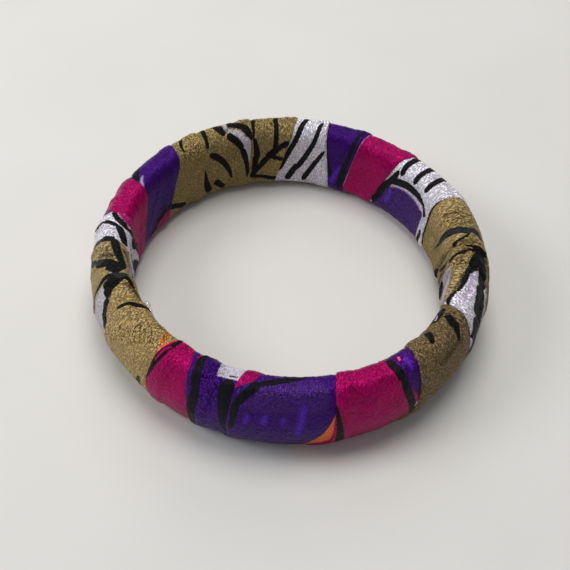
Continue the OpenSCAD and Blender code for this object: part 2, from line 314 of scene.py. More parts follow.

# The print, turn by turn, with painted light and shade laid in among it: its ground, then what
# is laid over it in order. A stroke is (colour, start, end, bow, width at the start, width at
# the end), all in mm from its centre line out. A patch is (colour, edges), and lies to the left
# of every edge (start, end, bow). A stroke of crinkling roughens the cloth there and strengthens
# its painted glints and painted crease shade, and a haze stroke lays a painted sheen of pale dots
# over it. Brown strokes are painted shade in folds and creases. Violet strokes are painted sheen
# on the purple. Dull gold is painted shade on turn 17 and on the outside of turns 18 to 20.
STROKES = {
    1: ("white", (
        ("slate", (34.5, 0.20), (31, -0.30), 0.8, 0.6, 0.9),
        ("ink", (39.6, 0.20), (36, -0.30), 0.8, 0.7, 0.8),
        ("ink", (46, 0.20), (42, -0.28), 0.8, 0.7, 0.6),
        ("ink", (33.7, 0.19), (32.6, 0.322), 0, 0.75, 0.75),
        ("ink", (39.5, 0.19), (39.0, 0.332), 0, 0.70, 0.78),
        ("ink", (45.9, 0.19), (46.0, 0.345), 0, 0.80, 0.70),
        ("purple", (((30.2, 0.43), (52, 0.47), -1.7), ((32.4, 0.70), (28.8, 0.40), 0),
                    ((52, 0.46), (56.5, 0.64), 0.5))),
        ("violet", (49.5, 0.47), (51.5, 0.60), 0.3, 0.4, 0.7),
        ("ink", (27.6, 0.425), (31.2, 0.365), -0.3, 0.85, 0.7),
        ("ink", (30.2, 0.372), (51.5, 0.43), -1.3, 0.72, 1.15),
        ("lavender", (31.6, 0.430), (52.2, 0.480), -1.7, 0.12, 0.18),
        ("ink", (47.4, 0.325), (53.4, 0.50), 0.2, 0.65, 1.0),
        ("ink", (53, 0.48), (57.4, 0.66), 0.2, 1.0, 0.7),
        ("ink", (27.9, 0.53), (31.0, 0.70), 0, 0.5, 0.70),
        ("ink", (24.2, 0.28), (26.4, 0.66), 0, 0.35, 0.5),
    )),
    2: ("magenta", (
        ("ink", (52, -0.30), (56, 0.06), 0.6, 0.4, 1.0),
        ("lavender", (65.3, 0.20), (70.9, 0.64), -0.3, 0.22, 0.24),
    )),
    3: ("purple", (
        ("violet", (72.6, 0.47), (76.6, 0.64), 0, 0.3, 0.9),
        ("ink", (66.9, 0.20), (72.8, 0.66), -0.3, 0.40, 0.95),
        ("ink", (80.6, 0.20), (76.2, 0.60), -0.7, 0.40, 0.75),
        ("ink", (70, -0.32), (74, 0.12), 0.5, 0.9, 0.3),
    )),
    4: ("white", (
        ("ink", (82.3, 0.235), (91.2, 0.58), 0.5, 0.50, 0.85),
        ("ink", (87.6, 0.20), (98.2, 0.60), -0.2, 0.62, 0.80),
        ("ink", (79.9, 0.39), (88.0, 0.66), 0, 0.50, 0.80),
        ("ink", (90.3, 0.53), (94.5, 0.66), 0, 0.8, 0.9),
        ("ink", (80, -0.30), (83, 0.14), 0.5, 0.8, 0.5),
        ("ink", (85, -0.30), (88, 0.10), 0.5, 0.6, 0.7),
    )),
    5: ("gold", (
        ("crinkle", (93, 0.25), (109, 0.25), 0, 1.3, 1.3),
        ("ink", (99.4, 0.19), (99.7, 0.45), 0, 0.50, 0.75),
        ("ink", (94.3, 0.355), (103.4, 0.49), -0.2, 0.75, 1.10),
        ("ink", (102.4, 0.475), (109.4, 0.625), 0, 1.00, 0.60),
        ("ink", (96.2, 0.495), (102.5, 0.463), 0, 0.60, 0.75),
        ("pale_gold", (96.0, 0.41), (97.8, 0.45), 0, 0.45, 0.6),
        ("ink", (107.0, 0.19), (108.9, 0.34), 0, 0.45, 0.40),
        ("ink", (108.3, 0.33), (106.9, 0.48), 0.2, 0.50, 0.95),
        ("ink", (107.0, 0.45), (108.0, 0.62), -0.2, 1.00, 0.50),
        ("ink", (98.3, 0.645), (110.6, 0.615), 0, 0.6, 0.5),
        ("ink", (95, -0.32), (97, 0.05), 0.6, 0.5, 0.9),
        ("ink", (101, -0.20), (103, 0.15), -0.6, 0.7, 0.3),
    )),
    6: ("gold", (
        ("crinkle", (109, 0.26), (127, 0.26), 0, 0.8, 0.8),
        ("ink", (117.9, 0.225), (109.0, 0.335), 0.8, 0.95, 0.75),
        ("white", (118.6, 0.272), (112.6, 0.33), 0.2, 0.35, 1.20),
        ("white", (112.7, 0.315), (110.7, 0.53), 0.3, 1.75, 0.15),
        ("ink", (118.9, 0.295), (113.0, 0.39), 0.5, 0.80, 0.85),
        ("ink", (113.5, 0.375), (110.9, 0.61), 0.5, 0.90, 0.45),
        ("ink", (121.2, 0.19), (119.8, 0.295), 0, 1.20, 0.80),
        ("white", (117.5, 0.205), (118.2, 0.262), 0, 0.35, 0.55),
        ("ink", (127.1, 0.36), (117.3, 0.605), 1.2, 1.10, 0.45),
        ("ink", (125.5, 0.19), (127.7, 0.33), 0, 0.60, 0.45),
        ("ink", (129.7, 0.46), (127.3, 0.66), -0.3, 0.50, 1.05),
        ("ink", (124.9, 0.585), (120.6, 0.66), 0, 0.90, 0.7),
        ("ink", (110, -0.30), (113, 0.08), 0.8, 0.8, 0.4),
        ("ink", (119, -0.25), (121, 0.12), 0.8, 0.4, 0.9),
    )),
    7: ("gold", (
        ("crinkle", (127, 0.28), (139, 0.30), 0, 0.9, 0.7),
        ("ink", (132.4, 0.19), (137.4, 0.298), -0.5, 0.45, 0.35),
        ("ink", (148.2, 0.585), (139.0, 0.66), 0, 0.75, 0.7),
        ("ink", (130, -0.30), (131, 0.02), 0.6, 0.7, 0.4),
    )),
    8: ("purple", (
        ("magenta", (((143.0, 0.600), (152.5, 0.600), 0), ((152.5, 0.600), (163, 0.70), 0))),
        ("ink", (144.5, 0.530), (157.0, 0.615), 0.2, 0.50, 0.95),
        ("ink", (155.0, 0.600), (163.0, 0.690), 0.2, 0.90, 0.6),
        ("white", (156.2, 0.17), (158.0, 0.222), 0, 0.80, 0.40),
        ("ink", (153.0, 0.19), (159.4, 0.262), -0.3, 1.05, 0.45),
        ("lavender", (156.2, 0.262), (160.8, 0.300), -0.2, 0.12, 0.20),
        ("violet", (141, -0.25), (144, 0.10), 0.4, 0.5, 0.9),
    )),
    9: ("magenta", (
        ("purple", (172.4, 0.12), (174.8, 0.220), -0.3, 0.3, 0.5),
        ("ink", (163, -0.30), (166, 0.05), 0.6, 0.9, 0.3),
    )),
    10: ("white", (
        ("gold", (((188.6, 0.280), (188.0, 0.22), 0), ((188.0, 0.22), (185.2, 0.02), -0.3),
                  ((185.2, 0.02), (178, -0.4), 0))),
        ("gold", (((196, 0.46), (188, 0.285), -0.4),)),
        ("brown", (192.6, 0.18), (194.6, 0.265), 0, 0.5, 0.8),
        ("crinkle", (189.6, 0.15), (195.0, 0.275), 0, 1.4, 1.6),
        ("brown", (190.8, 0.300), (199.2, 0.380), 0.2, 0.5, 0.8),
        ("magenta", (((179.2, 0.46), (173.6, 0.61), 0), ((179.6, 0.30), (179.2, 0.46), 0),
                     ((175, 0.245), (182, 0.325), 0))),
        ("ink", (173.4, 0.10), (175.8, 0.225), -0.3, 0.45, 0.55),
        ("ink", (175.4, 0.235), (181.4, 0.325), -0.5, 0.60, 0.60),
        ("ink", (180.6, 0.318), (178.2, 0.490), -0.4, 0.65, 0.90),
        ("ink", (178.4, 0.470), (171.6, 0.620), -0.2, 0.90, 1.30),
        ("ink", (178.2, 0.09), (179.6, 0.21), -0.3, 0.36, 0.50),
        ("ink", (179.5, 0.205), (181.4, 0.275), -0.1, 0.45, 0.50),
        ("ink", (181.0, 0.270), (188.6, 0.318), 0.2, 0.50, 0.95),
        ("ink", (185.6, 0.10), (186.8, 0.21), -0.2, 0.42, 0.70),
        ("ink", (186.6, 0.205), (187.4, 0.268), 0, 0.75, 0.85),
        ("ink", (187.0, 0.262), (199.6, 0.305), -0.1, 0.85, 0.55),
        ("ink", (186.6, 0.03), (194.2, 0.165), -0.3, 0.55, 0.85),
        ("ink", (194.0, 0.160), (197.6, 0.262), -0.3, 0.85, 0.95),
        ("ink", (197.4, 0.235), (201.0, 0.285), 0, 1.30, 1.50),
        ("ink", (190.0, 0.330), (186.0, 0.620), 0, 0.25, 0.80),
        ("slate", (184.4, 0.360), (182.6, 0.600), 0, 0.20, 0.40),
        ("ink", (182.0, 0.560), (176.0, 0.700), 0, 1.2, 1.6),
    )),
    11: ("gold", (
        ("pale_gold", (((205, 0.35), (207, 0.0), 0),)),
        ("crinkle", (206.5, 0.285), (213, 0.300), 0, 0.6, 0.8),
        ("white", (((211.4, -0.02), (206.8, 0.195), -0.3), ((206.8, 0.195), (202.9, 0.262), 0),
                   ((203.5, 0.255), (204.4, 0.100), 0), ((204.4, 0.100), (203.0, -0.30), 0))),
        ("lavender", (207, -0.20), (209.2, 0.04), 0, 1.6, 0.3),
        ("ink", (202.6, 0.04), (202.0, 0.25), -0.5, 0.35, 0.85),
        ("ink", (213.2, 0.02), (208.8, 0.185), 0.4, 0.85, 0.95),
        ("ink", (208.4, 0.175), (203.2, 0.290), 0.3, 1.00, 1.25),
        ("slate", (200.4, 0.25), (204.2, 0.285), 0, 1.2, 1.1),
        ("brown", (206.5, 0.28), (214.5, 0.315), 0.2, 0.4, 0.5),
        ("ink", (204, 0.290), (212, 0.325), 0, 0.50, 0.25),
    )),
    12: ("gold", (
        ("pale_gold", (((200, -0.30), (250, -0.30), 0),)),
        ("crinkle", (213.0, 0.035), (232.0, 0.300), 0.5, 1.1, 1.8),
        ("ink", (214.0, 0.205), (214.9, 0.262), -0.3, 0.30, 0.62),
        ("ink", (214.6, 0.250), (219.4, 0.330), -0.3, 0.55, 0.40),
        ("slate", (227.0, -0.14), (229.8, 0.012), 0, 0.75, 0.35),
        ("orange", (232.9, 0.228), (230.9, 0.310), -0.2, 0.30, 0.50),
    )),
    13: ("magenta", (
        ("coral", (232.7, 0.10), (233.9, 0.290), -0.2, 0.30, 0.60),
        ("coral", (233.6, 0.280), (240.8, 0.330), 0.2, 0.70, 0.30),
        ("orange", (234.2, 0.270), (236.0, 0.320), 0, 0.35, 0.40),
        ("ink", (232.2, 0.035), (233.7, 0.150), 0, 0.35, 0.80),
        ("ink", (233.5, 0.135), (236.6, 0.270), 0.15, 0.80, 0.62),
        ("magenta", (234.0, 0.165), (236.5, 0.262), 0.25, 0.14, 0.30),
        ("ink", (236.2, 0.250), (236.6, 0.305), 0, 0.62, 0.35),
        ("purple", (244.8, 0.22), (242.4, 0.34), 0, 0.3, 0.8),
    )),
    14: ("purple", (
        ("crinkle", (250.5, 0.02), (251.5, 0.30), 0, 1.7, 1.7),
        ("ink", (246.0, -0.20), (248.0, 0.16), -0.1, 0.80, 0.95),
        ("ink", (248.0, 0.12), (244.4, 0.34), -0.3, 0.90, 0.85),
        ("ink", (256.8, -0.11), (256.0, 0.236), 0, 0.25, 1.85),
        ("white", (((252.2, 0.230), (260.0, 0.238), 0), ((251.2, 0.36), (252.2, 0.228), 0))),
        ("slate", (255.4, 0.245), (258.0, 0.255), 0, 0.20, 0.15),
    )),
    15: ("purple", (
        # Painted sheen: pale lavender dots over the top rim of turn 15, where the light falls.
        ("haze", (259, 0.19), (284, 0.20), 0, 2.6, 2.9),
        ("magenta", (((258.4, 0.13), (262.4, 0.240), 0), ((262.4, 0.240), (275, 0.296), 0.2))),
        # Painted sheen: short bright streaks on the lower outside of the purple.
        ("violet", (262.0, 0.040), (262.6, 0.095), 0, 0.30, 0.35),
        ("violet", (266.4, 0.045), (267.4, 0.110), 0, 0.50, 0.40),
        ("violet", (271.4, 0.060), (271.8, 0.105), 0, 0.35, 0.30),
        ("violet", (275.6, -0.02), (277.0, 0.170), 0, 0.40, 0.60),
        ("ink", (258.2, -0.03), (259.2, 0.155), -0.1, 0.35, 0.80),
        ("ink", (259.0, 0.140), (264.6, 0.245), 0.3, 0.80, 0.78),
        ("ink", (264.0, 0.240), (279.0, 0.300), 0.2, 0.78, 0.35),
        ("ink", (271, -0.30), (282, -0.090), 0.4, 1.6, 0.6),
        ("orange", (((284.9, 0.09), (278.6, -0.13), 0.2), ((278.0, -0.30), (290.0, -0.30), 0))),
        ("coral", (284.8, 0.03), (284.8, -0.10), 0, 0.12, 0.30),
    )),
    16: ("magenta", (
        ("purple", (((303.8, 0.31), (309.2, 0.06), -0.3),)),
        ("violet", (308.8, 0.20), (309.2, 0.27), 0, 0.40, 0.5),
        ("ink", (287.4, -0.14), (285.4, 0.165), -0.1, 0.95, 0.25),
        ("ink", (304.0, 0.290), (305.4, 0.180), -0.1, 0.85, 0.90),
        ("ink", (305.2, 0.195), (309.6, -0.10), -0.1, 0.85, 0.75),
        ("white", (309.4, -0.035), (309.8, 0.005), 0, 0.32, 0.20),
        ("coral", (307.2, 0.262), (307.6, 0.282), 0, 0.25, 0.25),
    )),
    17: ("gold", (
        # Painted shade: all of turn 17 darkened to dull gold.
        ("shaded_gold", (((270, -0.30), (340, -0.30), 0),)),
        ("brown", (318, 0.14), (329, 0.16), 0, 0.9, 0.7),
        ("crinkle", (330, 0.12), (333, 0.28), 0, 1.0, 1.2),
        ("ink", (327.9, 0.160), (329.0, 0.220), 0, 0.35, 0.85),
        ("ink", (328.9, 0.210), (331.4, 0.280), 0, 0.85, 0.80),
        ("ink", (319.2, 0.235), (321.8, 0.298), 0, 0.50, 0.75),
        ("ink", (326.5, 0.318), (334.6, 0.312), 0, 1.00, 0.80),
        ("white", (328.0, 0.305), (331.5, 0.322), 0, 0.22, 0.12),
        ("ink", (334.6, 0.02), (335.2, 0.20), 0, 0.18, 0.30),
    )),
    18: ("white", (
        # Painted shade: the outside of turn 18 darkened to dull gold.
        ("shaded_gold", (((349, 0.140), (334, 0.035), 0), ((364, 0.165), (349, 0.140), 0))),
        ("gold", (((333, 0.312), (341.0, 0.287), 0), ((341.0, 0.287), (353.4, 0.240), -0.3))),
        # The twisted gold strip: painted shade along its folds and a painted highlight in pale
        # gold between them.
        ("brown", (338.0, 0.318), (351.5, 0.272), -0.2, 0.22, 0.50),
        ("pale_gold", (341.5, 0.322), (352.0, 0.290), -0.1, 0.25, 0.35),
        ("brown", (342.5, 0.340), (350.5, 0.312), 0, 0.25, 0.30),
        ("crinkle", (340.0, 0.325), (353.0, 0.285), 0, 0.9, 1.5),
        ("brown", (346.4, 0.360), (348.2, 0.70), 0, 1.0, 1.0),
        ("ink", (349.4, 0.372), (350.0, 0.70), 0, 0.30, 0.60),
        ("white", (((351.4, 0.70), (350.9, 0.364), 0), ((350.9, 0.364), (357.6, 0.312), 0.3))),
        ("lavender", (353.4, 0.40), (353.8, 0.62), 0, 0.25, 0.4),
        ("lavender", (338.5, 0.240), (350.0, 0.236), 0, 0.30, 0.25),
        ("ink", (333.6, -0.02), (337.0, 0.080), 0, 0.50, 1.50),
        ("ink", (334.8, 0.060), (339.6, 0.142), 0, 1.50, 2.10),
        ("ink", (338.8, 0.135), (349.0, 0.186), -0.1, 2.10, 1.40),
        ("ink", (347.8, 0.182), (361.0, 0.190), -0.2, 1.30, 1.50),
        ("ink", (333.0, 0.303), (341.2, 0.284), 0, 0.30, 0.26),
        ("ink", (340.8, 0.285), (350.5, 0.262), -0.1, 0.26, 0.62),
        ("ink", (349.6, 0.264), (357.0, 0.222), 0, 0.62, 1.20),
    )),
    19: ("gold", (
        ("pale_gold", (((353, 0.40), (357, 0.22), 0), ((362, 0.25), (355, 0.40), 0))),
        # Painted shade: the outside of turn 19 darkened to dull gold.
        ("shaded_gold", (((366, 0.150), (344, 0.120), 0),)),
        # The twisted gold strip again: painted shade along a fold and a painted highlight in pale
        # gold.
        ("brown", (355.5, 0.300), (362.0, 0.262), 0, 0.40, 0.45),
        ("pale_gold", (355.0, 0.325), (358.4, 0.285), 0, 0.30, 0.40),
        ("crinkle", (354.0, 0.310), (361.0, 0.250), 0, 1.4, 1.4),
        ("white", (((357.8, 0.316), (357.2, 0.448), 0.1), ((357.2, 0.448), (360.2, 0.70), 0),
                   ((350.9, 0.364), (357.8, 0.312), 0.2))),
        ("ink", (348, 0.186), (363, 0.192), 0, 1.30, 1.10),
        ("ink", (353.5, 0.245), (360.5, 0.205), 0, 0.95, 0.80),
        ("ink", (358.0, 0.308), (357.5, 0.46), 0.1, 0.22, 0.32),
        ("ink", (357.5, 0.45), (361.0, 0.70), 0.3, 0.32, 1.00),
        ("brown", (361.4, 0.42), (366.4, 0.68), 0, 0.5, 1.0),
        ("ink", (358.2, 0.350), (362.4, 0.185), -0.3, 0.35, 0.60),
        ("ink", (360.0, 0.345), (367.4, 0.560), 0.3, 0.40, 0.45),
    )),
    20: ("gold", (
        # Painted shade: the outside of turn 20 darkened to dull gold.
        ("shaded_gold", (((385, 0.17), (350, 0.15), 0),)),
        ("pale_gold", (((362, 0.30), (369, 0.28), 0), ((375, 0.40), (362, 0.36), 0))),
        ("brown", (364.0, 0.200), (363.0, 0.290), 0, 0.30, 0.30),
        ("crinkle", (379.0, 0.310), (371.6, 0.268), 0.3, 1.7, 1.5),
        ("ink", (361.6, 0.150), (361.9, 0.285), 0.1, 0.60, 0.48),
        ("ink", (361.8, 0.270), (360.0, 0.350), 0.1, 0.48, 0.44),
        ("ink", (360.0, 0.345), (368.4, 0.585), 0.3, 0.46, 0.55),
        ("ink", (368.2, 0.560), (372.4, 0.70), 0, 0.55, 0.50),
        ("ink", (367.8, 0.240), (363.0, 0.312), 0.2, 0.42, 0.34),
        ("ink", (363.2, 0.308), (361.8, 0.372), 0, 0.34, 0.30),
        ("slate", (366.8, 0.184), (369.0, 0.250), -0.1, 0.80, 1.10),
        ("slate", (368.7, 0.235), (371.4, 0.365), 0.3, 1.10, 0.75),
        ("slate", (371.0, 0.350), (375.8, 0.510), 0.2, 0.70, 0.30),
        ("brown", (375.4, 0.490), (376.4, 0.590), 0, 0.30, 0.24),
        ("brown", (376.2, 0.255), (378.4, 0.310), 0, 0.4, 0.3),
        ("crinkle", (378.0, 0.470), (382.0, 0.600), 0, 0.7, 0.7),
    )),
}
GROUND_SLOT = {"white": "white_print", "magenta": "magenta_print", "purple": "purple_print",
               "gold": "gold_print"}


def flat_place(angle, share):
    """Where a point of the cloth lies on the flat print, in mm."""
    return np.radians(angle) * PRINT_RADIUS, np.asarray(share) * SECTION_LENGTH


def pleat_height(n, angle, share):
    """Height of turn n's pleats in mm: each is a ridge along a bowed line, steep on one side."""
    x, y = flat_place(angle, share)
    total = np.zeros_like(x)
    for turn, start, end, bow, high, wide in PLEATS:
        if turn != n:
            continue
        ax, ay = flat_place(*start)
        bx, by = flat_place(*end)
        run = np.hypot(bx - ax, by - ay)
        ux, uy = (bx - ax) / run, (by - ay) / run
        t = ((x - ax) * ux + (y - ay) * uy) / run
        d = (x - ax) * -uy + (y - ay) * ux - bow * 4 * t * (1 - t)
        ends = smooth(t / 0.25) * smooth((1 - t) / 0.25)
        rise = smooth((d + 0.30) / 0.30)
        total += high * ends * rise * (1 - smooth(d / wide))
    return total


# ---------------------------------------------------------------- the cloth

def cloth_grid(n):
    """Turn n's grid: angles, shares, distance from the exposed edge and to the next seam."""
    c = cloth()
    share = np.linspace(JOINT_SHARE - 1, JOINT_SHARE, c.rows)[:, None]
    near, far = seam(n - 1, share), seam(n, share) + c.lap - 0.15
    across = np.linspace(0, 1, c.columns)[None, :] ** 1.3
    angle = near + (far - near) * across
    share = np.broadcast_to(share, angle.shape)
    from_edge = np.radians(angle - near) * PRINT_RADIUS
    to_seam = np.radians(far - c.lap - angle) * PRINT_RADIUS
    return angle, share, from_edge, to_seam


def cloth_heights(n, angle, share, from_edge, to_seam):
    """Height of a length's face and back above the bare ring, in mm.

    Near its exposed edge a length lies over the last one and comes down in a smooth slope; the
    edge itself is a rounded fold. Lumps and bunching lift both sides. Pleats and small puckers
    lift the face alone, and die out where the next length covers it.
    """
    c = cloth()
    thick = c.thickness / MM
    low = c.seat / MM
    high = low + thick + c.lap_gap / MM
    lap = radians(c.lap) * PRINT_RADIUS
    slope = radians(c.slope) * PRINT_RADIUS
    level = 1 - smooth((from_edge - lap) / slope)
    shared = unevenness(angle, share) + bunching(angle, share)
    back = low + (high - low) * level + shared
    hem = c.hem / MM
    roll = np.clip(1 - from_edge / hem, 0, 1)
    fold = hem * (1 - np.sqrt(1 - roll ** 2))
    pucker = 0.11 * grain(angle * 1.1 + 7 * n, share * 34, 30 + n)
    ridge = 1 - np.abs(2 * grain(angle * 1.5 + share * 9, share * 46 - angle * 0.5, 60 + n) - 1)
    pucker += (0.16 if STROKES[n][0] == "gold" else 0.09) * ridge ** 2
    puff = 0.08 * smooth(from_edge / 1.2) * (1 - smooth((from_edge - 0.6) / 2.6))
    loose = smooth(to_seam / 0.9) * smooth(from_edge / 0.5)
    ends = smooth((JOINT_SHARE - share) / 0.03) * smooth((share - JOINT_SHARE + 1) / 0.03)
    under = 1 - smooth((0.07 - np.abs(share + 0.25)) / 0.05)
    lift = (pleat_height(n, angle, share) + pucker + puff) * loose * ends * under
    return back + thick + lift - np.minimum(fold, thick * 0.92), back


def sheet_mesh(name, face, back, angle, share):
    """A closed sheet from a grid of face points and one of back points, with its rim and with
    the flat place of each point as its UV."""
    rows, columns = angle.shape
    layer = rows * columns
    index = np.arange(layer).reshape(rows, columns)
    a, b = index[:-1, :-1].ravel(), index[1:, :-1].ravel()
    c, d = index[1:, 1:].ravel(), index[:-1, 1:].ravel()
    front = np.stack([a, d, c, b], axis=1)
    border = np.r_[index[0, :-1], index[:-1, -1], index[-1, :0:-1], index[:0:-1, 0]]
    after = np.roll(border, -1)
    rim = np.stack([border, border + layer, after + layer, after], axis=1)
    faces = np.concatenate([front, front[:, ::-1] + layer, rim])
    points = np.concatenate([face.reshape(-1, 3), back.reshape(-1, 3)])
    mesh = bpy.data.meshes.new(name)
    mesh.vertices.add(len(points))
    mesh.vertices.foreach_set("co", points.ravel())
    mesh.loops.add(faces.size)
    mesh.loops.foreach_set("vertex_index", faces.ravel())
    mesh.polygons.add(len(faces))
    mesh.polygons.foreach_set("loop_start", np.arange(0, faces.size, 4))
    mesh.polygons.foreach_set("use_smooth", np.ones(len(faces), bool))
    x, y = flat_place(angle.ravel(), share.ravel())
    flat = np.stack([x, y], axis=1) * MM
    uv = mesh.uv_layers.new(name="print")
    uv.data.foreach_set("uv", np.tile(flat, (2, 1))[faces.ravel()].ravel())
    mesh.update(calc_edges=True)
    mesh.validate()
    return mesh


def place_piece(mesh, material, slot, *nodes):
    piece = bpy.data.objects.new(mesh.name, mesh)
    bpy.context.collection.objects.link(piece)
    mesh.materials.append(material)
    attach(piece, "root")
    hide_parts(*nodes)
    return piece


def make_length(n):
    """Turn n's cloth, with the size that its strip was cut to."""
    angle, share, from_edge, to_seam = cloth_grid(n)
    high, low = cloth_heights(n, angle, share, from_edge, to_seam)
    face, back = on_ring(angle, share, high), on_ring(angle, share, low)
    ground = STROKES[n][0]
    mesh = sheet_mesh(f"cloth_length_{n:02d}", face, back, angle, share)
    node = f"fabric_wrap_{n:02d}"
    piece = place_piece(mesh, print_material(n), GROUND_SLOT[ground], node)
    return piece


# ---------------------------------------------------------------- shader groups

class Group:
    """A shader node group being built: its sockets, nodes and links."""

    def __init__(self, name, inputs, outputs):
        self.tree = bpy.data.node_groups.new(name, "ShaderNodeTree")
        kinds = {"v": "NodeSocketVector", "f": "NodeSocketFloat", "c": "NodeSocketColor"}
        for label, kind in inputs:
            self.tree.interface.new_socket(label, in_out="INPUT", socket_type=kinds[kind])
        for label, kind in outputs:
            self.tree.interface.new_socket(label, in_out="OUTPUT", socket_type=kinds[kind])
        self.inputs = self.tree.nodes.new("NodeGroupInput").outputs
        self.outputs = self.tree.nodes.new("NodeGroupOutput").inputs

    def feed(self, socket, value):
        feed(self.tree, socket, value)

    def math(self, kind, a, b=0.0, c=0.0, clamp=False):
        return math_node(self.tree, kind, a, b, c, clamp)


def feed(tree, socket, value):
    """Gives a socket a link or a constant."""
    if isinstance(value, bpy.types.NodeSocket):
        tree.links.new(value, socket)
    else:
        socket.default_value = value


def math_node(tree, kind, a, b=0.0, c=0.0, clamp=False):
    node = tree.nodes.new("ShaderNodeMath")
    node.operation = kind
    node.use_clamp = clamp
    for socket, value in zip(node.inputs, (a, b, c)):
        feed(tree, socket, value)
    return node.outputs[0]


def vector_node(tree, kind, a, b=(0, 0, 0)):
    node = tree.nodes.new("ShaderNodeVectorMath")
    node.operation = kind
    feed(tree, node.inputs[0], a)
    feed(tree, node.inputs[3 if kind == "SCALE" else 1], b)
    return node.outputs["Value" if kind in ("DOT_PRODUCT", "LENGTH") else "Vector"]


def noise_node(tree, vector, scale, detail=2.0, roughness=0.5):
    node = tree.nodes.new("ShaderNodeTexNoise")
    feed(tree, node.inputs["Vector"], vector)
    for label, value in (("Scale", scale), ("Detail", detail), ("Roughness", roughness)):
        feed(tree, node.inputs[label], value)
    return node.outputs["Fac"]


def mix_colour(tree, factor, a, b):
    node = tree.nodes.new("ShaderNodeMix")
    node.data_type = "RGBA"
    feed(tree, node.inputs["Factor"], factor)
    feed(tree, node.inputs["A"], a)
    feed(tree, node.inputs["B"], b)
    return node.outputs["Result"]


def along_and_off(g):
    """Inside a group: how far along its bowed line a point is, from 0 to 1, and how far off
    it in mm, positive on the left."""
    line = vector_node(g.tree, "SUBTRACT", g.inputs["End"], g.inputs["Start"])
    point = vector_node(g.tree, "SUBTRACT", g.inputs["Place"], g.inputs["Start"])
    run = vector_node(g.tree, "LENGTH", line)
    unit = vector_node(g.tree, "NORMALIZE", line)
    t = g.math("DIVIDE", vector_node(g.tree, "DOT_PRODUCT", point, unit), run)
    side = vector_node(g.tree, "CROSS_PRODUCT", unit, point)
    apart = g.tree.nodes.new("ShaderNodeSeparateXYZ")
    feed(g.tree, apart.inputs[0], side)
    hump = g.math("MULTIPLY", t, g.math("SUBTRACT", 1.0, t))
    bow = g.math("MULTIPLY", g.math("MULTIPLY", hump, 4.0), g.inputs["Bow"])
    return t, g.math("SUBTRACT", apart.outputs[2], bow)


LINE_INPUTS = (("Place", "v"), ("Start", "v"), ("End", "v"), ("Bow", "f"), ("Wobble", "f"),
               ("Soft", "f"))
# How many mm a colour's edge fades over: print is crisp; painted shade, painted sheen and painted
# highlight are not, nor is the gold's paler tone
SOFT_STROKE = {"haze": 1.8, "crinkle": 1.6, "brown": 0.7, "pale_gold": 0.7, "violet": 0.8,
               "lavender": 0.5, "shaded_gold": 0.8}
SOFT_PATCH = {"pale_gold": 2.4, "shaded_gold": 1.4}
CRISP = 0.12


def stroke_group():
    """One brush stroke: a mask about a bowed line, blunt at its ends, its width changing evenly
    from start to end and its edge shaken by the wobble."""
    g = Group("brush_stroke", LINE_INPUTS + (("First Width", "f"), ("Last Width", "f")),
              (("Mask", "f"),))
    t, off = along_and_off(g)
    gain = g.math("SUBTRACT", g.inputs["Last Width"], g.inputs["First Width"])
    width = g.math("MULTIPLY_ADD", t, gain, g.inputs["First Width"])
    ends = g.math("POWER", g.math("ABSOLUTE", g.math("MULTIPLY_ADD", t, 2.0, -1.0)), 10.0)
    width = g.math("MULTIPLY", width, g.math("SUBTRACT", 1.0, ends))
    inside = g.math("SUBTRACT", width, g.math("ABSOLUTE", off))
    inside = g.math("ADD", inside, g.inputs["Wobble"])
    mask = g.math("ADD", g.math("DIVIDE", inside, g.inputs["Soft"]), 0.5, clamp=True)
    near = g.math("LESS_THAN", ends, 1.0)
    g.feed(g.outputs["Mask"], g.math("MULTIPLY", mask, near))
    return g.tree


def edge_group():
    """One side of a printed edge: a mask of everything left of a bowed line."""
    g = Group("print_edge", LINE_INPUTS, (("Mask", "f"),))
    off = along_and_off(g)[1]
    inside = g.math("ADD", off, g.inputs["Wobble"])
    mask = g.math("ADD", g.math("DIVIDE", inside, g.inputs["Soft"]), 0.5, clamp=True)
    g.feed(g.outputs["Mask"], mask)
    return g.tree


def weave_group():
    """Satin weave: the product of two sine waves across the cloth gives threads that pass over
    and under, and a slow noise makes the threads uneven. Pitch is in mm."""
    g = Group("satin_weave", (("Place", "v"), ("Pitch", "f")),
              (("Height", "f"), ("Tint", "f")))
    apart = g.tree.nodes.new("ShaderNodeSeparateXYZ")
    g.feed(apart.inputs[0], g.inputs["Place"])
    turn = g.math("DIVIDE", 2 * pi, g.inputs["Pitch"])
    shake = g.math("MULTIPLY", noise_node(g.tree, g.inputs["Place"], 0.9, 1.0), 2.2)
    first = g.math("ADD", apart.outputs[0], apart.outputs[1])
    second = g.math("SUBTRACT", apart.outputs[1], apart.outputs[0])
    a = g.math("SINE", g.math("MULTIPLY_ADD", first, turn, shake))
    b = g.math("SINE", g.math("MULTIPLY_ADD", second, turn, shake))
    product = g.math("MULTIPLY", a, b)
    g.feed(g.outputs["Height"], product)
    slub = noise_node(g.tree, g.inputs["Place"], 5.0, 3.0, 0.6)
    g.feed(g.outputs["Tint"], g.math("MULTIPLY_ADD", product, 0.35, slub))
    return g.tree


